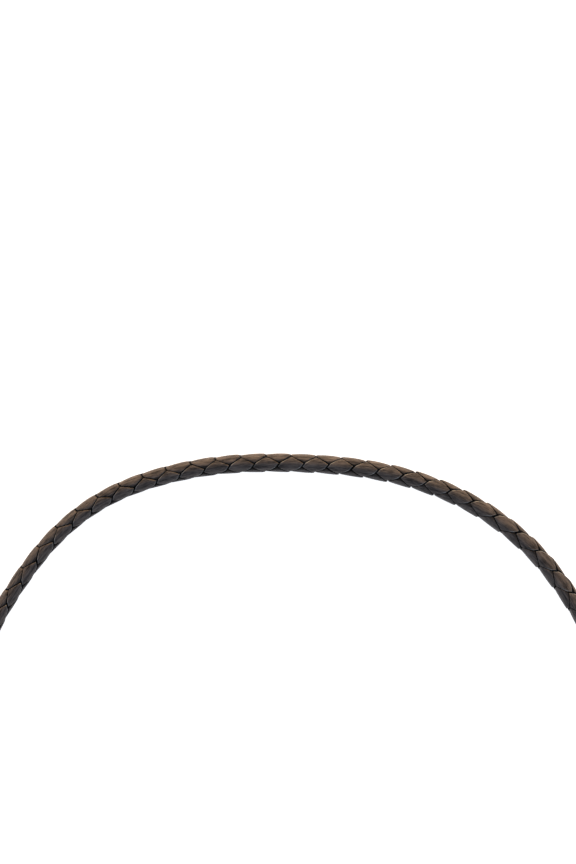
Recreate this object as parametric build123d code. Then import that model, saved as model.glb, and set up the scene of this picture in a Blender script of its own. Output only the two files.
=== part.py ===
from build123d import *
import os
from math import pi, radians, tan

# A bolo necklace laid flat. +Y points to the back of the neck, +Z up off the surface.
# The origin is the middle of the whole outline, on the surface. Lengths are millimetres.

# Braided leather cord, held as one round tube of the braid's outer diameter
CORD_DIAMETER = 4.0
ARC_SHARE = 0.45          # share of the shorter run that an arc takes up beside its point

# Slide, a flattened barrel that both sides of the cord run through
SLIDE_LENGTH = 15.0       # along the cords
SLIDE_WALL = 1.9          # above and below each bore
SLIDE_SIDE_WALL = 3.7     # outside each bore
BORE_GAP = 5.4            # metal between the two bores
BORE_CLEARANCE = 0.3      # room all round the cord
SLIDE_ROUNDING = 1.3      # rounding of the slide's two ends
MOUTH_ROUNDING = 0.4      # rounding of each bore's mouths
SLIDE_Y = -52.0           # place of the slide's middle

# Tips, plain tapered caps on the two ends of the cord
TIP_LENGTH = 38.0
TIP_WALL = 0.75           # round the socket
TIP_COLLAR_LENGTH = 3.0
TIP_COLLAR_STEP = 0.6     # how far the collar stands out
TIP_COLLAR_ROUNDING = 0.4
TIP_END_DIAMETER = 4.4    # where the rounded end starts
SOCKET_DEPTH = 12.0
SOCKET_CLEARANCE = 0.15   # room all round the cord
SOCKET_END_GAP = 0.3      # between the cord's end and the socket's floor
CORD_END_X = 15.5
CORD_END_Y = -172.7

SAME_RADIUS = 0.001       # how near a round edge's radius has to be to count as that radius

# Worked out from the sizes above
CORD_RADIUS = CORD_DIAMETER / 2
BORE_RADIUS = CORD_RADIUS + BORE_CLEARANCE
BORE_X = BORE_RADIUS + BORE_GAP / 2
SLIDE_HEIGHT = 2 * (BORE_RADIUS + SLIDE_WALL)
SLIDE_WIDTH = 2 * (BORE_X + BORE_RADIUS + SLIDE_SIDE_WALL)
SOCKET_RADIUS = CORD_RADIUS + SOCKET_CLEARANCE
TIP_BODY_RADIUS = SOCKET_RADIUS + TIP_WALL
TIP_COLLAR_RADIUS = TIP_BODY_RADIUS + TIP_COLLAR_STEP

# Heights of the cord's middle line
FLOOR_Z = CORD_RADIUS
BORE_Z = SLIDE_HEIGHT / 2
TIP_Z = TIP_COLLAR_RADIUS
RISE_Z = 2.9              # on the way up to the slide

# Where the cord turns at the ends of the bores and above the tips
BORE_LEAD = 2.5           # cord kept in line past each end of a bore
TIP_LEAD = 6.7            # cord kept in line above each tip
BORE_TOP_Y = SLIDE_Y + SLIDE_LENGTH / 2 + BORE_LEAD
BORE_LOW_Y = SLIDE_Y - SLIDE_LENGTH / 2 - BORE_LEAD
TIP_LEAD_Y = CORD_END_Y + SOCKET_DEPTH + TIP_LEAD

# The cord's route, from the left tip through the slide, round the neck and back down
ROUTE = [
    # Left leg, from the tip up to the slide
    (-CORD_END_X, CORD_END_Y, TIP_Z),
    (-CORD_END_X, TIP_LEAD_Y, TIP_Z),
    (-16.1, -135.0, FLOOR_Z),
    (-14.6, -115.0, FLOOR_Z),
    (-10.6, -96.0, FLOOR_Z),
    (-6.6, -79.0, RISE_Z),
    # Left bore
    (-BORE_X, BORE_LOW_Y, BORE_Z),
    (-BORE_X, BORE_TOP_Y, BORE_Z),
    # Left side of the loop
    (-6.4, -27.0, RISE_Z),
    (-10.6, -12.5, FLOOR_Z),
    (-19.0, 2.0, FLOOR_Z),
    (-31.0, 19.5, FLOOR_Z),
    (-44.8, 38.5, FLOOR_Z),
    (-58.0, 59.0, FLOOR_Z),
    (-68.6, 80.0, FLOOR_Z),
    (-75.0, 102.0, FLOOR_Z),
    (-76.9, 124.0, FLOOR_Z),
    (-75.2, 143.5, FLOOR_Z),
    (-71.1, 158.1, FLOOR_Z),
    # Arch behind the neck
    (-64.3, 169.6, FLOOR_Z),
    (-56.3, 180.0, FLOOR_Z),
    (-46.6, 187.9, FLOOR_Z),
    (-35.2, 193.0, FLOOR_Z),
    (-19.7, 196.5, FLOOR_Z),
    (-2.2, 197.1, FLOOR_Z),
    (15.2, 195.8, FLOOR_Z),
    (28.8, 192.5, FLOOR_Z),
    (40.9, 187.1, FLOOR_Z),
    (51.2, 179.5, FLOOR_Z),
    (59.0, 170.8, FLOOR_Z),
    # Right side of the loop
    (66.9, 158.4, FLOOR_Z),
    (72.7, 143.5, FLOOR_Z),
    (76.3, 124.5, FLOOR_Z),
    (76.6, 102.5, FLOOR_Z),
    (72.2, 80.5, FLOOR_Z),
    (62.6, 60.0, FLOOR_Z),
    (49.6, 40.5, FLOOR_Z),
    (35.6, 22.0, FLOOR_Z),
    (22.8, 4.0, FLOOR_Z),
    (12.6, -12.0, FLOOR_Z),
    (6.4, -27.5, RISE_Z),
    # Right bore
    (BORE_X, BORE_TOP_Y, BORE_Z),
    (BORE_X, BORE_LOW_Y, BORE_Z),
    # Right leg, down to the tip
    (6.4, -79.0, RISE_Z),
    (10.0, -96.0, FLOOR_Z),
    (14.0, -115.0, FLOOR_Z),
    (15.9, -135.0, FLOOR_Z),
    (CORD_END_X, TIP_LEAD_Y, TIP_Z),
    (CORD_END_X, CORD_END_Y, TIP_Z),
]


def arc_radii(points):
    """The largest arc that each inner point's two runs allow."""
    radii = []
    for before, here, after in zip(points, points[1:], points[2:]):
        run_in = Vector(*here) - Vector(*before)
        run_out = Vector(*after) - Vector(*here)
        turn = radians(run_in.get_angle(run_out))
        shorter = min(run_in.length, run_out.length)
        radii.append(ARC_SHARE * shorter / tan(turn / 2))
    return radii


def circles_of(shape, radius):
    """The shape's round edges of one radius."""
    circles = shape.edges().filter_by(GeomType.CIRCLE)
    return circles.filter_by(lambda edge: abs(edge.radius - radius) < SAME_RADIUS)


def braided_cord():
    """One tube from tip to tip."""
    radii = arc_radii(ROUTE)
    path = FilletPolyline(*ROUTE, radius=radii)
    section = Plane(origin=path @ 0, z_dir=path % 0) * Circle(CORD_RADIUS)
    tube = sweep(section, path=path)
    expected = pi * CORD_RADIUS**2 * path.length
    print("arc radii", [round(radius, 1) for radius in radii])
    print("cord length", round(path.length, 1), "volume over expected", round(tube.volume / expected, 5))
    return tube


def slide():
    """A flattened barrel with two bores along Y."""
    end_face = Plane.XZ * SlotOverall(SLIDE_WIDTH, SLIDE_HEIGHT)
    barrel = extrude(end_face, amount=SLIDE_LENGTH / 2, both=True)
    faces_along = barrel.faces().sort_by(Axis.Y)
    end_edges = faces_along[0].edges() + faces_along[-1].edges()
    barrel = fillet(end_edges, SLIDE_ROUNDING)
    for side in (-1, 1):
        bore = Rot(90, 0, 0) * Cylinder(BORE_RADIUS, 2 * SLIDE_LENGTH)
        barrel -= Pos(side * BORE_X, 0, 0) * bore
    barrel = fillet(circles_of(barrel, BORE_RADIUS), MOUTH_ROUNDING)
    return Pos(0, SLIDE_Y, BORE_Z) * barrel


def tip(cord_end, cord_before):
    """A tapered cap with a blind socket, seated on the end of the cord."""
    along = (Vector(*cord_end) - Vector(*cord_before)).normalized()
    mouth = Vector(*cord_end) - along * (SOCKET_DEPTH - SOCKET_END_GAP)
    end_radius = TIP_END_DIAMETER / 2
    side = Polyline(
        (SOCKET_RADIUS, SOCKET_DEPTH),
        (SOCKET_RADIUS, 0),
        (TIP_COLLAR_RADIUS, 0),
        (TIP_COLLAR_RADIUS, TIP_COLLAR_LENGTH),
        (TIP_BODY_RADIUS, TIP_COLLAR_LENGTH),
        (end_radius, TIP_LENGTH - end_radius),
    )
    round_end = RadiusArc((end_radius, TIP_LENGTH - end_radius), (0, TIP_LENGTH), -end_radius)
    middle = Polyline((0, TIP_LENGTH), (0, SOCKET_DEPTH), (SOCKET_RADIUS, SOCKET_DEPTH))
    profile = Plane.XZ * make_face([*side.edges(), *round_end.edges(), *middle.edges()])
    cap = revolve(profile, axis=Axis.Z)
    cap = fillet(circles_of(cap, TIP_COLLAR_RADIUS), TIP_COLLAR_ROUNDING)
    return Plane(origin=mouth, z_dir=along) * cap


parts = {
    "braided_cord": braided_cord(),
    "slide": slide(),
    "tip_left": tip(ROUTE[0], ROUTE[1]),
    "tip_right": tip(ROUTE[-1], ROUTE[-2]),
}

os.makedirs("parts", exist_ok=True)
for name, shape in parts.items():
    export_step(shape, f"parts/{name}.step")
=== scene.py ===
# A bolo necklace laid flat on a pale floor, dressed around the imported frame.
# +Y points to the back of the neck, +Z up off the floor. Lengths are metres.
import math
from typing import NamedTuple

import bpy
import numpy as np
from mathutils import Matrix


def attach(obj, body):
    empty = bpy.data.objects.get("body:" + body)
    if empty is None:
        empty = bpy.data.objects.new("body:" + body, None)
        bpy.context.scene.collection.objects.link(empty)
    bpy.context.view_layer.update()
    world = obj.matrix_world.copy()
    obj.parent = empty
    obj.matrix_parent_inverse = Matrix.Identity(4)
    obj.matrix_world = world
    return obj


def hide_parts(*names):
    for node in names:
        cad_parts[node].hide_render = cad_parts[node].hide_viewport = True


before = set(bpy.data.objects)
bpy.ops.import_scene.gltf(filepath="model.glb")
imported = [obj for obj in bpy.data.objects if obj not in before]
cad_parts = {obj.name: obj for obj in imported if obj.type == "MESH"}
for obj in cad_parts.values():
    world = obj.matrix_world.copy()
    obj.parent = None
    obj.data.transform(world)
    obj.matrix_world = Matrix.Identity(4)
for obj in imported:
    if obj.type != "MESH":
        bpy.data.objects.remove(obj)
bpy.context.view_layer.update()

MM = 0.001

# The cord's route, from the left tip through the slide, round the neck and back down
ROUTE = [
    # Left leg, from the tip up to the slide
    (-0.0155, -0.1727, 0.0035),
    (-0.0155, -0.1540, 0.0035),
    (-0.0161, -0.1350, 0.0020),
    (-0.0146, -0.1150, 0.0020),
    (-0.0106, -0.0960, 0.0020),
    (-0.0066, -0.0790, 0.0029),
    # Left bore
    (-0.0050, -0.0620, 0.0042),
    (-0.0050, -0.0420, 0.0042),
    # Left side of the loop
    (-0.0064, -0.0270, 0.0029),
    (-0.0106, -0.0125, 0.0020),
    (-0.0190, 0.0020, 0.0020),
    (-0.0310, 0.0195, 0.0020),
    (-0.0448, 0.0385, 0.0020),
    (-0.0580, 0.0590, 0.0020),
    (-0.0686, 0.0800, 0.0020),
    (-0.0750, 0.1020, 0.0020),
    (-0.0769, 0.1240, 0.0020),
    (-0.0752, 0.1435, 0.0020),
    (-0.0711, 0.1581, 0.0020),
    # Arch behind the neck
    (-0.0643, 0.1696, 0.0020),
    (-0.0563, 0.1800, 0.0020),
    (-0.0466, 0.1879, 0.0020),
    (-0.0352, 0.1930, 0.0020),
    (-0.0197, 0.1965, 0.0020),
    (-0.0022, 0.1971, 0.0020),
    (0.0152, 0.1958, 0.0020),
    (0.0288, 0.1925, 0.0020),
    (0.0409, 0.1871, 0.0020),
    (0.0512, 0.1795, 0.0020),
    (0.0590, 0.1708, 0.0020),
    # Right side of the loop
    (0.0669, 0.1584, 0.0020),
    (0.0727, 0.1435, 0.0020),
    (0.0763, 0.1245, 0.0020),
    (0.0766, 0.1025, 0.0020),
    (0.0722, 0.0805, 0.0020),
    (0.0626, 0.0600, 0.0020),
    (0.0496, 0.0405, 0.0020),
    (0.0356, 0.0220, 0.0020),
    (0.0228, 0.0040, 0.0020),
    (0.0126, -0.0120, 0.0020),
    (0.0064, -0.0275, 0.0029),
    # Right bore
    (0.0050, -0.0420, 0.0042),
    (0.0050, -0.0620, 0.0042),
    # Right leg, down to the tip
    (0.0064, -0.0790, 0.0029),
    (0.0100, -0.0960, 0.0020),
    (0.0140, -0.1150, 0.0020),
    (0.0159, -0.1350, 0.0020),
    (0.0155, -0.1540, 0.0035),
    (0.0155, -0.1727, 0.0035),
]
ROUTE_STEPS = 40             # points that the route's curve is read at, for each of its spans

# Round braid of four flat laces: two turn one way and lie over the cord's top and bottom,
# two turn the other way and lie over its two sides. A hop is the length of cord between
# two lozenges of one column, and a lace turns half round, 180 degrees, in it.
HOP = 5.80 * MM
CORD_RADIUS = 2.0 * MM
LACE_THICKNESS = 0.44 * MM
END_HOPS = 0.9               # hops of cord without laces at each end, hidden in the tips
SEED = 11


class Hand(NamedTuple):
    """How the laces that turn one way lie. The edge, runs and widths are in hops."""

    over_top: bool           # whether they lie over the cord's top and bottom, or over its sides
    phase: float             # hops from the start of the count to the middle of a lozenge
    edge: list               # following edge, from under another lace, over and under again
    dip_run: float           # stretch over which a lace goes down to pass under another
    rounding: float          # width of a lace's rounded edges
    crevice_shade: float           # painted shade on the stretch beside another lace's edge
    crown: float             # how far a lace's sides fall below its middle
    lean: float              # how far a lace's leading side stands over its following side


# An edge's table holds degrees turned from the middle of a lozenge, and hops that the edge
# lies behind the lace's steady course. The leading edge is the same, turned end for end.
RIGHT = Hand(
    over_top=True,
    phase=0.5,
    edge=[(-90, 0.49), (-50, 0.45), (-15, 0.487), (15, 0.513), (60, 0.303), (76, 0.38), (90, 0.49)],
    dip_run=0.065,
    rounding=0.055,
    crevice_shade=0.052,
    crown=0.05 * MM,
    lean=0.06 * MM,
)
LEFT = Hand(
    over_top=False,
    phase=0.0,
    edge=[(-90, 0.43), (-60, 0.42), (-25, 0.41), (25, 0.59), (76, 0.362), (90, 0.43)],
    dip_run=0.06,
    rounding=0.085,
    crevice_shade=0.050,
    crown=0.12 * MM,
    lean=0.26 * MM,
)

# Relief of a lace
DIP = 0.50 * MM              # how far a lace goes down to pass under another
DIP_END = 0.02               # how far it is down before the other's edge, in hops
ROUNDING_DEPTH = 0.15 * MM
ROUNDING_END = 0.99          # how upright a rounded edge ends, where 1 is upright
LEAN_PIVOT = 0.35            # share of a lace's width where its lean changes nothing

# Slow unevenness: the degrees that a lace turns in one wave, and the size
LEFT_EDGE_WAVE = 1630
RIGHT_EDGE_WAVE = 1420
EDGE_WANDER = 0.006          # of the edges, in hops
DIP_WAVE = 1210
DIP_WANDER = 0.04            # of the dip, as a share of it
TURN_WAVE = 2900
TURN_WANDER = 0.02           # of the turn round the cord, in radians
WAVE_SHARES = (1.0, 0.62, 0.37)      # wavelengths that make up one unevenness

# Painted shade in the creases, and paler rims that are partly the cut edges' own colour and partly
# painted highlight, in hops across a lace and in degrees from the middle of a lozenge
CREVICE_SHADE_START = 0.004        # stretch beside another lace's edge that gets full painted shade
OUTLINE_SHADE = 0.036              # line of painted shade along a lace's own edges
TOP_JOINT = 20               # where two top laces meet, and the line grows to twice its width
TOP_JOINT_RUN = 10
OUTLINE_SHADE_FADE = 0.55          # how much fainter the line is on a side lace's leading edge
CORNER = 52                  # where painted shade starts to darken a lozenge's pointed ends
CORNER_RUN = 10
CORNER_SHADE = 0.3
RIM = 0.105                  # width of the paler rim along a lace's edges, partly cut edge colour and partly painted highlight
RIM_FADE = 3                 # how fast the rim fades towards a lozenge's ends
SIDE_JOINT = 40              # where two side laces meet, and have no rim
SIDE_JOINT_RUN = 15

# Columns round a lace's section: over its top, down the leading side, back underneath and up,
# as shares of its width, closer together at its edges
FOLLOWING_HALF = [0, 0.01, 0.024, 0.05, 0.09, 0.16, 0.25, 0.36, 0.5]
LEADING_HALF = [0.64, 0.75, 0.84, 0.91, 0.95, 0.976, 0.99, 1]
ACROSS_TOP = FOLLOWING_HALF + LEADING_HALF
ACROSS_BELOW = [1, 0.5, 0]
SHARE = np.array(ACROSS_TOP + ACROSS_BELOW)
BELOW = np.arange(len(SHARE)) >= len(ACROSS_TOP)

# Rings along one hop of a lace: where it lies under, going up, over, going down and under again
RING_KNOTS = np.array([0, 3, 9, 23, 29, 32])
RING_SPREAD = 0.03           # share of even spacing that keeps rings apart where a lace is narrow
SEARCH_STEPS = 541           # places in one hop that are searched for the edges of other laces

# The arch that shows in the photograph, from its left edge, by distance along it in
# millimetres: lozenges passed, degrees that the braid rolls inwards, lean of the outer
# lozenges as a share of the full one, and how full the cord is
ARCH_START = (-67.05 * MM, 161.6 * MM)
HOPS_SEEN = [
    (2.5, 0),
    (26.4, 4),
    (54.15, 9),
    (82.6, 14),
    (111.0, 19),
    (122.3, 21),
    (134.9, 23),
    (153.1, 26),
]
ROLLS_SEEN = [
    (-60, 0),
    (0, 26),
    (20, 28),
    (46, 33),
    (74, 16),
    (103, 4),
    (132, -15),
    (153, -20),
    (210, 0),
]
LEANS_SEEN = [
    (74, 1.0),
    (100, -0.8),
    (153, -1.6),
    (210, 1.0),
]
FULLNESS_SEEN = [
    (-60, 1.0),
    (0, 0.92),
    (20, 0.94),
    (46, 0.99),
    (74, 1.04),
    (103, 1.05),
    (153, 1.05),
    (210, 1.0),
]

# Leather: colours, and grain in waves per metre along a lace and across it, and in waves per lace
DARK_LEATHER = (0.0130, 0.0115, 0.0112, 1.0)
LIGHT_LEATHER = (0.146, 0.124, 0.112, 1.0)
# Pale cut edge: partly the leather's own edge colour, partly painted highlight
CUT_EDGE_AND_HIGHLIGHT = (0.560, 0.555, 0.540, 1.0)
# Near black: painted shade for the creases, the laces' undersides and the lozenges' ends
CREASE_SHADE = (0.0015, 0.0012, 0.0012, 1.0)
FIBRES = (700.0, 5000.0, 7.0)
BROAD_FIBRES = (220.0, 1700.0, 9.0)
PATCHES = 420.0
PORES = 6500.0
STREAK_RANGE = (0.38, 0.62)  # noise from the dark colour to the light one
PATCH_RANGE = (0.35, 0.65)
STREAK_TONE = 0.82           # how much of the way to the light colour the streaks go
PATCH_TONE = 0.15
RIM_RANGE = (0.2, 0.62)      # rim value from plain leather to the cut edge colour with painted highlight
LEAST_WEAR_AND_HIGHLIGHT = 0.5             # share of the rim's cut edge colour and painted highlight where it is worn least
CREVICE_SHADE_RANGE = (0.03, 0.46)     # crevice value from plain leather to full painted shade
NOISE_RANGE = (0.3, 0.7)     # nearly the whole reach of a noise
DARK_ROUGHNESS = 0.58
LIGHT_ROUGHNESS = 0.44
FIBRE_RELIEF = 0.09 * MM
PORE_RELIEF = 0.03 * MM
LEATHER_SPECULAR = 0.16

# Metal of the slide and the tips: colour, and brushing in waves per metre along X, Y and Z
SILVER = (0.44, 0.425, 0.40)
TARNISHED = 0.72             # share of the colour that the tarnish leaves
BRUSHED_ALONG_X = (260.0, 9000.0, 9000.0)
BRUSHED_ALONG_Y = (9000.0, 260.0, 9000.0)
TARNISH = 170.0
TARNISH_RANGE = (0.36, 0.70)     # noise from clean to tarnished colour
DULL_RANGE = (0.3, 0.75)     # noise from bright to dull
BRIGHT_ROUGHNESS = 0.30
TARNISHED_ROUGHNESS = 0.38
BRUSHED_ROUGHNESS = 0.10     # what the brushing adds at most
BRUSH_RELIEF = 0.012 * MM

# Floor
FLOOR_SIZE = 6.0
FLOOR_COLOUR = (0.95, 0.95, 0.95, 1.0)
FLOOR_ROUGHNESS = 0.9
FLOOR_GLOW = 0.85

# Camera straight above the arch
LENS = 150.0                 # in millimetres, as the sensor is
SENSOR = 36.0
FRAME_HEIGHT = 197.5 * MM    # what the camera sees at the height of the cord's middle line
CAMERA_X = -2.59 * MM
CAMERA_Y = 203.9 * MM
NEAREST = 10 * MM

# Soft dome, with its ranges in shares of the dome's radius
ZENITH = 0.62
HORIZON = 1.10
HEIGHT_RANGE = (0.35, 0.95)  # from the horizon's strength up to the zenith's
INNER_SHADE = 0.50           # share of its strength that the dome keeps on the inner side
SHADE_RANGE = (-0.8, 0.2)    # from that share to its full strength
WARM = (0.66, 0.65, 0.66, 1.0)
COOL = (0.63, 0.74, 0.95, 1.0)
COLOUR_RANGE = (-0.7, 0.7)   # from cool on the inner side to warm on the outer side

# Warm key light, low over the outer side
KEY_ENERGY = 8.5
KEY_COLOUR = (1.0, 0.63, 0.27)
KEY_TURN = -87               # degrees turned about X from shining straight down
KEY_SPREAD = 34


def unit(vectors):
    """The same vectors at length one."""
    return vectors / np.linalg.norm(vectors, axis=-1, keepdims=True)


def add_object(name, data):
    """A new object in the scene."""
    thing = bpy.data.objects.new(name, data)
    bpy.context.scene.collection.objects.link(thing)
    return thing


def route_points():
    """The points of the cord's middle line, read from the route's NURBS spline."""
    curve = bpy.data.curves.new("cord_route", "CURVE")
    curve.dimensions = "3D"
    curve.resolution_u = ROUTE_STEPS
    spline = curve.splines.new("NURBS")
    spline.points.add(len(ROUTE) - 1)
    for point, place in zip(spline.points, ROUTE):
        point.co = (*place, 1.0)
    spline.order_u = 3
    spline.use_endpoint_u = True
    holder = bpy.data.objects.new("cord_route", curve)
    mesh = bpy.data.meshes.new_from_object(holder)
    points = np.array([vertex.co for vertex in mesh.vertices])
    bpy.data.objects.remove(holder)
    bpy.data.meshes.remove(mesh)
    bpy.data.curves.remove(curve)
    return points


class CordLine:
    """The cord's middle line, with its direction, upward side and outer side anywhere along it."""

    def __init__(self, points):
        steps = np.linalg.norm(np.diff(points, axis=0), axis=1)
        self.points = points
        self.along = np.concatenate([[0.0], np.cumsum(steps)])
        self.length = self.along[-1]
        self.tangents = unit(np.gradient(points, self.along, axis=0))

    def read(self, values, along):
        return np.stack([np.interp(along, self.along, column) for column in values.T], axis=-1)

    def at(self, along):
        """Places, and the upward and outer directions, at distances along the line."""
        place = self.read(self.points, along)
        tangent = unit(self.read(self.tangents, along))
        up = np.array([0.0, 0.0, 1.0])
        up = unit(up - tangent * tangent[..., 2:3])
        return place, up, np.cross(up, tangent)


class Wander:
    """Slow unevenness along the cord, from a few waves of random phase."""

    def __init__(self, generator, wavelength, size):
        self.waves = [(wavelength * share, generator.uniform(0, 2 * math.pi)) for share in WAVE_SHARES]
        self.size = size / math.sqrt(len(WAVE_SHARES) / 2)

    def at(self, turned):
        return self.size * sum(np.sin(2 * math.pi * turned / wave + phase) for wave, phase in self.waves)


def on_arch(line, table):
    """One of the arch's tables, as distances along the cord and values."""
    nearest = np.argmin(np.linalg.norm(line.points[:, :2] - np.array(ARCH_START), axis=1))
    distances, values = np.array(table, dtype=float).T
    return line.along[nearest] + distances * MM, values


def seen(line, along, table):
    """Value of one of the arch's tables at distances along the cord."""
    stations, values = on_arch(line, table)
    return np.interp(along, stations, values)


def hop_range(line):
    """Hops at the cord's two ends."""
    stations, passed = on_arch(line, HOPS_SEEN)
    return passed[0] - stations[0] / HOP, passed[-1] + (line.length - stations[-1]) / HOP


def cord_at(line, hops):
    """Distance along the cord to places given in hops."""
    stations, passed = on_arch(line, HOPS_SEEN)
    first, last = hop_range(line)
    return np.interp(hops, [first, *passed, last], [0.0, *stations, line.length])


def from_lozenge(turned):
    """Degrees turned from the middle of the nearest lozenge."""
    return (turned + 90) % 180 - 90


def behind(edge, degrees):
    """Hops that a following edge lies behind, at any number of degrees."""
    places, values = zip(*edge)
    return np.interp(from_lozenge(degrees), places, values)


class Weave:
    """Where a lace's two edges run, and how far it lies clear of the laces that cross over it."""

    def __init__(self, own, other, generator):
        self.own = own
        self.other = other
        self.left_wander = Wander(generator, LEFT_EDGE_WAVE, EDGE_WANDER)
        self.right_wander = Wander(generator, RIGHT_EDGE_WAVE, EDGE_WANDER)

    def edges(self, turned):
        """Hops from the lace's steady course to its following and its leading edge."""
        left = self.left_wander.at(turned) - behind(self.own, turned)
        right = self.right_wander.at(turned) + behind(self.own, -turned)
        return left, right

    def clearance(self, turned):
        """Hops to the nearest edge of a lace that lies over this one, for each column."""
        left, right = self.edges(turned)
        degrees = from_lozenge(turned)
        from_middle = degrees / 180 + left + (right - left) * SHARE
        ahead = 0.5 + (90 - degrees) / 180 - behind(self.other, 90 - degrees) - from_middle
        astern = 0.5 + (90 + degrees) / 180 - behind(self.other, 90 + degrees) + from_middle
        return np.minimum(ahead, astern)


def clear_stretches(weave, middles, level):
    """Degrees from each lozenge's middle between which each column is clear by a level in hops."""
    fine = np.linspace(-90, 90, SEARCH_STEPS)
    clearance = weave.clearance(middles[:, :, None] + fine[None, :, None])
    widest = clearance.argmax(axis=1)
    clear = clearance > level
    comes_clear = clear.any(axis=1)
    starts = np.where(comes_clear, clear.argmax(axis=1), widest)
    ends = np.where(comes_clear, len(fine) - 1 - clear[:, ::-1].argmax(axis=1), widest)
    return fine[starts], fine[ends]


def ring_places(weave, first, last, dip_run):
    """Degrees turned at each ring and column, so that rings follow the edges of the laces over it."""
    hops = np.arange(math.floor(first / 180 + 0.5), math.ceil(last / 180 + 0.5))
    middles = 180.0 * hops[:, None]
    rise, sunk = clear_stretches(weave, middles, DIP_END)
    risen, sinking = clear_stretches(weave, middles, DIP_END + dip_run)
    side = np.full_like(rise, 90.0)
    anchors = np.stack([-side, rise, risen, sinking, sunk, side], axis=1)
    rings = np.arange(RING_KNOTS[-1])
    stretch = np.searchsorted(RING_KNOTS, rings, side="right") - 1
    within = (rings - RING_KNOTS[stretch]) / (RING_KNOTS[stretch + 1] - RING_KNOTS[stretch])
    places = anchors[:, stretch] + (anchors[:, stretch + 1] - anchors[:, stretch]) * within[:, None]
    even = 180.0 * rings[:, None] / RING_KNOTS[-1] - 90
    places = middles[:, :, None] + places * (1 - RING_SPREAD) + even * RING_SPREAD
    places = places.reshape(-1, len(SHARE))
    row = places.mean(axis=1)
    return places[(row > first) & (row < last)]


def tube_faces(rings, count):
    """Quads between neighbouring rings of a tube, and a face on each of its ends."""
    ring = np.arange(rings - 1)[:, None] * count
    column = np.arange(count)[None, :]
    following = (column + 1) % count
    corners = [ring + column, ring + following, ring + count + following, ring + count + column]
    faces = np.stack(corners, axis=-1).reshape(-1, 4).tolist()
    faces.append(list(range(count))[::-1])
    faces.append([(rings - 1) * count + column for column in range(count)])
    return faces


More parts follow.
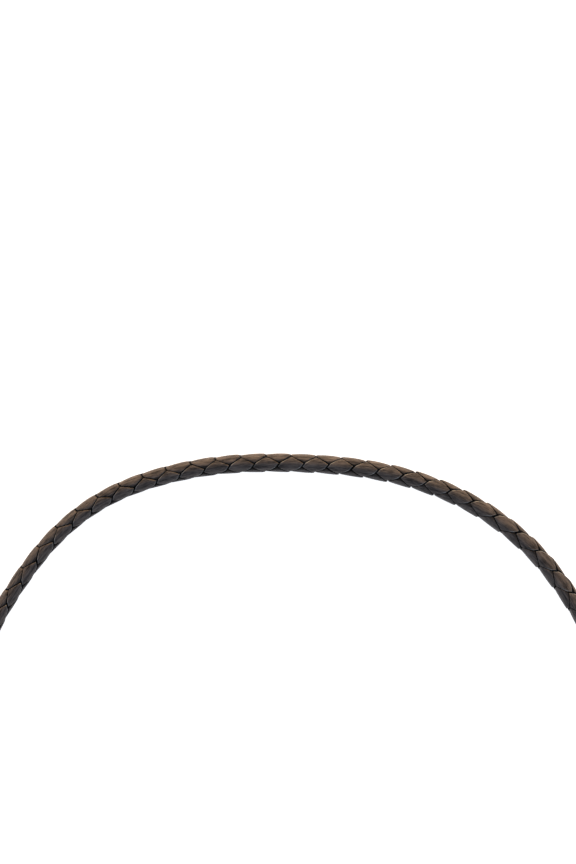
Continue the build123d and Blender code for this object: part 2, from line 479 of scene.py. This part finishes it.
class Lace:
    """One lace of the braid: rings along it, each with a column for each place round its section."""

    def __init__(self, line, hand, other, number, generator):
        self.line = line
        self.hand = hand
        self.number = number
        weave = Weave(hand.edge, other.edge, generator)
        self.dip_wander = Wander(generator, DIP_WAVE, DIP_WANDER)
        self.turn_wander = Wander(generator, TURN_WAVE, TURN_WANDER)

        first, last = hop_range(line)
        first = 180 * (first + END_HOPS - hand.phase)
        last = 180 * (last - END_HOPS - hand.phase)
        self.turned = ring_places(weave, first, last, hand.dip_run)
        self.degrees = from_lozenge(self.turned)
        left, right = weave.edges(self.turned)
        self.width = right - left
        self.hops = self.turned / 180 + hand.phase + (left + self.width * SHARE)
        self.along = cord_at(line, self.hops)

        # Under the other laces beyond their edges
        self.clearance = weave.clearance(self.turned)
        clear = np.clip((self.clearance - DIP_END) / hand.dip_run, 0, 1)
        self.over = clear * clear * (3 - 2 * clear)

    def near_edge(self, width):
        """One at the lace's own edges, down to nothing at a width in hops from them."""
        return np.clip(1 - np.minimum(SHARE, 1 - SHARE) * self.width / width, 0, 1)

    def angles(self):
        """Directions from the cord's middle line, from straight up towards its outer side."""
        turned = np.radians(self.turned)
        angle = turned if self.hand.over_top else math.pi / 2 - turned
        angle = angle + self.number * math.pi - np.radians(seen(self.line, self.along, ROLLS_SEEN))
        return angle + self.turn_wander.at(self.turned)

    def heights(self, angle):
        """Distances from the middle line of a cord of even fullness."""
        dip = DIP * (1 - self.over)
        edge = self.near_edge(self.hand.rounding)
        rounded = ROUNDING_DEPTH * (1 - np.sqrt(1 - ROUNDING_END * edge**2))
        outer = 0.5 + 0.5 * np.sin(angle)
        lean = self.hand.lean * (1 - outer + outer * seen(self.line, self.along, LEANS_SEEN))
        fall = self.hand.crown * (2 * SHARE - 1) ** 2 + lean * (LEAN_PIVOT - SHARE)
        top = CORD_RADIUS - dip * (1 + self.dip_wander.at(self.turned)) - rounded - self.over * fall
        return np.where(BELOW, CORD_RADIUS - dip - LACE_THICKNESS, top)

    def points(self):
        """Place of each ring and column. Where the cord is fuller, it is lifted to lie on the floor."""
        angle = self.angles()
        fullness = seen(self.line, self.along, FULLNESS_SEEN)
        height = self.heights(angle) * fullness
        place, up, outer = self.line.at(self.along)
        upwards = CORD_RADIUS * np.maximum(fullness - 1, 0) + height * np.cos(angle)
        outwards = height * np.sin(angle)
        return place + up * upwards[..., None] + outer * outwards[..., None]

    def crevice_shade(self):
        """Painted shade in the creases: beside other laces, along its own edges, at lozenges' ends and
        all over its underside.
        """
        turn = np.abs(self.degrees)
        crossing_shade = np.clip(1 - (self.clearance - CREVICE_SHADE_START) / self.hand.crevice_shade, 0, 1)
        if self.hand.over_top:
            joint = np.clip((TOP_JOINT - turn) / TOP_JOINT_RUN, 0, 1)
            own_edge_shade = self.near_edge(OUTLINE_SHADE * (1 + joint))
        else:
            own_edge_shade = self.near_edge(OUTLINE_SHADE) * (1 - OUTLINE_SHADE_FADE * SHARE)
        corner = CORNER_SHADE * np.clip((turn - CORNER) / CORNER_RUN, 0, 1)
        return np.where(BELOW, 1.0, np.maximum(np.maximum(crossing_shade, own_edge_shade), corner))

    def rim_and_highlight(self):
        """How pale the lace's rims are, partly the cut edges' own colour and partly painted highlight:
        most at the middle of a lozenge.
        """
        joint = 0.0
        if not self.hand.over_top:
            joint = np.clip((SIDE_JOINT - np.abs(self.degrees)) / SIDE_JOINT_RUN, 0, 1)
        fade = np.cos(np.radians(self.degrees)) ** RIM_FADE
        return np.where(BELOW, 0.0, self.near_edge(RIM) * (1 - joint) * fade)

    def grain_place(self):
        """Where the grain is read: along the lace, across it, and apart from the other laces."""
        across = np.radians(self.turned) * CORD_RADIUS
        apart = np.full_like(across, self.number + 2.0 * self.hand.over_top)
        return np.stack([self.hops * HOP, across, apart], axis=-1)

    def piece(self, name):
        """The lace as an object, with what its material reads at each point."""
        mesh = bpy.data.meshes.new(name)
        mesh.from_pydata(self.points().reshape(-1, 3).tolist(), [], tube_faces(*self.turned.shape))
        mesh.polygons.foreach_set("use_smooth", [True] * len(mesh.polygons))
        for attribute, values in (("crevice_shade", self.crevice_shade()), ("rim_and_highlight", self.rim_and_highlight())):
            mesh.attributes.new(attribute, "FLOAT", "POINT").data.foreach_set("value", values.ravel())
        grain = mesh.attributes.new("grain_place", "FLOAT_VECTOR", "POINT")
        grain.data.foreach_set("vector", self.grain_place().ravel())
        mesh.update()
        if not self.hand.over_top:
            mesh.flip_normals()
        return add_object(name, mesh)


class Nodes:
    """Short calls for building one node tree."""

    def __init__(self, tree):
        self.tree = tree

    def add(self, kind, inputs=None, **settings):
        """A node with its settings, and inputs that are linked to a socket or set to a value."""
        node = self.tree.nodes.new(kind)
        for key, value in settings.items():
            setattr(node, key, value)
        for socket, source in (inputs or {}).items():
            if isinstance(source, bpy.types.NodeSocket):
                self.tree.links.new(source, node.inputs[socket])
            else:
                node.inputs[socket].default_value = source
        return node

    def ramp(self, value, low, high, start=0.0, end=1.0):
        """From start to end while the value goes from low to high."""
        inputs = {"Value": value, "From Min": low, "From Max": high, "To Min": start, "To Max": end}
        return self.add("ShaderNodeMapRange", inputs).outputs["Result"]

    def mix(self, factor, first, second):
        inputs = {0: factor, 6: first, 7: second}
        return self.add("ShaderNodeMix", inputs, data_type="RGBA").outputs[2]

    def maths(self, operation, first, second):
        return self.add("ShaderNodeMath", {0: first, 1: second}, operation=operation).outputs[0]


class Finish(Nodes):
    """Short calls for building one material."""

    def __init__(self, name):
        self.material = bpy.data.materials.new(name)
        self.material.use_nodes = True
        super().__init__(self.material.node_tree)
        self.shader = self.tree.nodes["Principled BSDF"]
        self.place = self.add("ShaderNodeTexCoord").outputs["Object"]

    def noise(self, vector, scale=1.0, detail=3.0, roughness=0.6):
        inputs = {"Vector": vector, "Scale": scale, "Detail": detail, "Roughness": roughness}
        return self.add("ShaderNodeTexNoise", inputs).outputs["Fac"]

    def read(self, attribute, output):
        return self.add("ShaderNodeAttribute", attribute_name=attribute).outputs[output]

    def stretch(self, vector, scale):
        inputs = {0: vector, 1: scale}
        return self.add("ShaderNodeVectorMath", inputs, operation="MULTIPLY").outputs["Vector"]

    def bump(self, height, distance, strength, below=None):
        inputs = {"Height": height, "Distance": distance, "Strength": strength}
        if below is not None:
            inputs["Normal"] = below
        return self.add("ShaderNodeBump", inputs).outputs["Normal"]

    def link(self, source, socket):
        self.tree.links.new(source, self.shader.inputs[socket])

    def fix(self, socket, value):
        self.shader.inputs[socket].default_value = value


def leather():
    """Dark brown waxed leather: streaky grain along each lace, painted shade in the creases, and paler
    cut edges that are partly painted highlight.
    """
    nodes = Finish("braided_leather")
    grain_place = nodes.read("grain_place", "Vector")
    fibres = nodes.noise(nodes.stretch(grain_place, FIBRES))
    broad = nodes.noise(nodes.stretch(grain_place, BROAD_FIBRES), detail=2.0, roughness=0.55)
    half_fibres = nodes.maths("MULTIPLY", fibres, 0.5)
    half_broad = nodes.maths("MULTIPLY", broad, 0.5)
    streaks = nodes.maths("ADD", half_fibres, half_broad)
    patches = nodes.noise(nodes.place, PATCHES, roughness=0.55)
    streak_tone = nodes.ramp(streaks, *STREAK_RANGE, 0.0, STREAK_TONE)
    patch_tone = nodes.ramp(patches, *PATCH_RANGE, 0.0, PATCH_TONE)
    colour = nodes.mix(nodes.maths("ADD", streak_tone, patch_tone), DARK_LEATHER, LIGHT_LEATHER)

    # Paler on the cut edges, unevenly worn, partly the edges' own colour and partly painted highlight,
    # and painted shade in the creases
    rim_and_highlight = nodes.ramp(nodes.read("rim_and_highlight", "Fac"), *RIM_RANGE)
    wear_and_highlight = nodes.maths("MULTIPLY", rim_and_highlight, nodes.ramp(patches, *NOISE_RANGE, LEAST_WEAR_AND_HIGHLIGHT, 1.0))
    colour = nodes.mix(wear_and_highlight, colour, CUT_EDGE_AND_HIGHLIGHT)
    crevice_shade = nodes.ramp(nodes.read("crevice_shade", "Fac"), *CREVICE_SHADE_RANGE)
    nodes.link(nodes.mix(crevice_shade, colour, CREASE_SHADE), "Base Color")

    # Waxed: smoother on the light streaks
    nodes.link(nodes.ramp(streaks, *NOISE_RANGE, DARK_ROUGHNESS, LIGHT_ROUGHNESS), "Roughness")
    nodes.fix("Specular IOR Level", LEATHER_SPECULAR)
    relief = nodes.bump(streaks, FIBRE_RELIEF, strength=0.8)
    pores = nodes.noise(nodes.place, PORES)
    nodes.link(nodes.bump(pores, PORE_RELIEF, strength=0.6, below=relief), "Normal")
    return nodes.material


def metal(name, brush):
    """Aged silver, finely brushed along one direction and a little tarnished."""
    nodes = Finish(name)
    lines = nodes.noise(nodes.stretch(nodes.place, brush))
    tarnish = nodes.noise(nodes.place, TARNISH, detail=4.0)
    clean = (*SILVER, 1.0)
    tarnished = (*(TARNISHED * part for part in SILVER), 1.0)
    nodes.link(nodes.mix(nodes.ramp(tarnish, *TARNISH_RANGE), clean, tarnished), "Base Color")
    brushed = nodes.ramp(lines, *NOISE_RANGE, 0.0, BRUSHED_ROUGHNESS)
    dull = nodes.ramp(tarnish, *DULL_RANGE, BRIGHT_ROUGHNESS, TARNISHED_ROUGHNESS)
    nodes.link(nodes.maths("ADD", brushed, dull), "Roughness")
    nodes.link(nodes.bump(lines, BRUSH_RELIEF, strength=0.5), "Normal")
    nodes.fix("Metallic", 1.0)
    return nodes.material


def wear(piece, material):
    """Gives the piece this one material."""
    piece.data.materials.clear()
    piece.data.materials.append(material)


def pale_floor():
    """A wide pale floor that glows, so that it stays even."""
    half = FLOOR_SIZE / 2
    corners = [(-half, -half, 0), (half, -half, 0), (half, half, 0), (-half, half, 0)]
    mesh = bpy.data.meshes.new("floor")
    mesh.from_pydata(corners, [], [(0, 1, 2, 3)])
    nodes = Finish("pale_floor")
    nodes.fix("Base Color", FLOOR_COLOUR)
    nodes.fix("Roughness", FLOOR_ROUGHNESS)
    nodes.fix("Emission Color", (1.0, 1.0, 1.0, 1.0))
    nodes.fix("Emission Strength", FLOOR_GLOW)
    floor = add_object("floor", mesh)
    wear(floor, nodes.material)
    return floor


def camera_above():
    """A camera straight above the arch, looking down."""
    data = bpy.data.cameras.new("camera")
    data.lens = LENS
    data.sensor_width = SENSOR
    data.clip_start = NEAREST
    camera = add_object("camera", data)
    camera.location = (CAMERA_X, CAMERA_Y, CORD_RADIUS + FRAME_HEIGHT * LENS / SENSOR)
    return camera


def soft_dome():
    """A dome that is darker straight above and on the inner side, where it is also cooler."""
    world = bpy.data.worlds.new("studio")
    world.use_nodes = True
    nodes = Nodes(world.node_tree)
    direction = nodes.add("ShaderNodeTexCoord").outputs["Generated"]
    parts = nodes.add("ShaderNodeSeparateXYZ", {0: direction}).outputs
    dome = nodes.ramp(parts["Z"], *HEIGHT_RANGE, HORIZON, ZENITH)
    shade = nodes.ramp(parts["Y"], *SHADE_RANGE, INNER_SHADE, 1.0)
    colour = nodes.mix(nodes.ramp(parts["Y"], *COLOUR_RANGE), COOL, WARM)
    background = nodes.tree.nodes["Background"]
    nodes.tree.links.new(nodes.maths("MULTIPLY", dome, shade), background.inputs["Strength"])
    nodes.tree.links.new(colour, background.inputs["Color"])
    return world


def key_light():
    """A soft warm light from far away, which doesn't show in reflections."""
    light = bpy.data.lights.new("key", "SUN")
    light.energy = KEY_ENERGY
    light.color = KEY_COLOUR
    light.angle = math.radians(KEY_SPREAD)
    lamp = add_object("key", light)
    lamp.rotation_euler = (math.radians(KEY_TURN), 0, 0)
    lamp.visible_glossy = False


line = CordLine(route_points())
print("cord line", round(line.length, 4))
finish = leather()
generator = np.random.default_rng(SEED)
for side, hand, other in (("right", RIGHT, LEFT), ("left", LEFT, RIGHT)):
    for number in range(2):
        piece = Lace(line, hand, other, number, generator).piece(f"lace_{side}_{number + 1}")
        wear(piece, finish)
        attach(piece, "root")
        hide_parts("braided_cord")

wear(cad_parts["slide"], metal("slide_metal", BRUSHED_ALONG_X))
tip_finish = metal("tip_metal", BRUSHED_ALONG_Y)
for tip in ("tip_left", "tip_right"):
    wear(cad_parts[tip], tip_finish)

pale_floor()
bpy.context.scene.camera = camera_above()
bpy.context.scene.world = soft_dome()
key_light()
bpy.context.scene.view_settings.view_transform = "Standard"
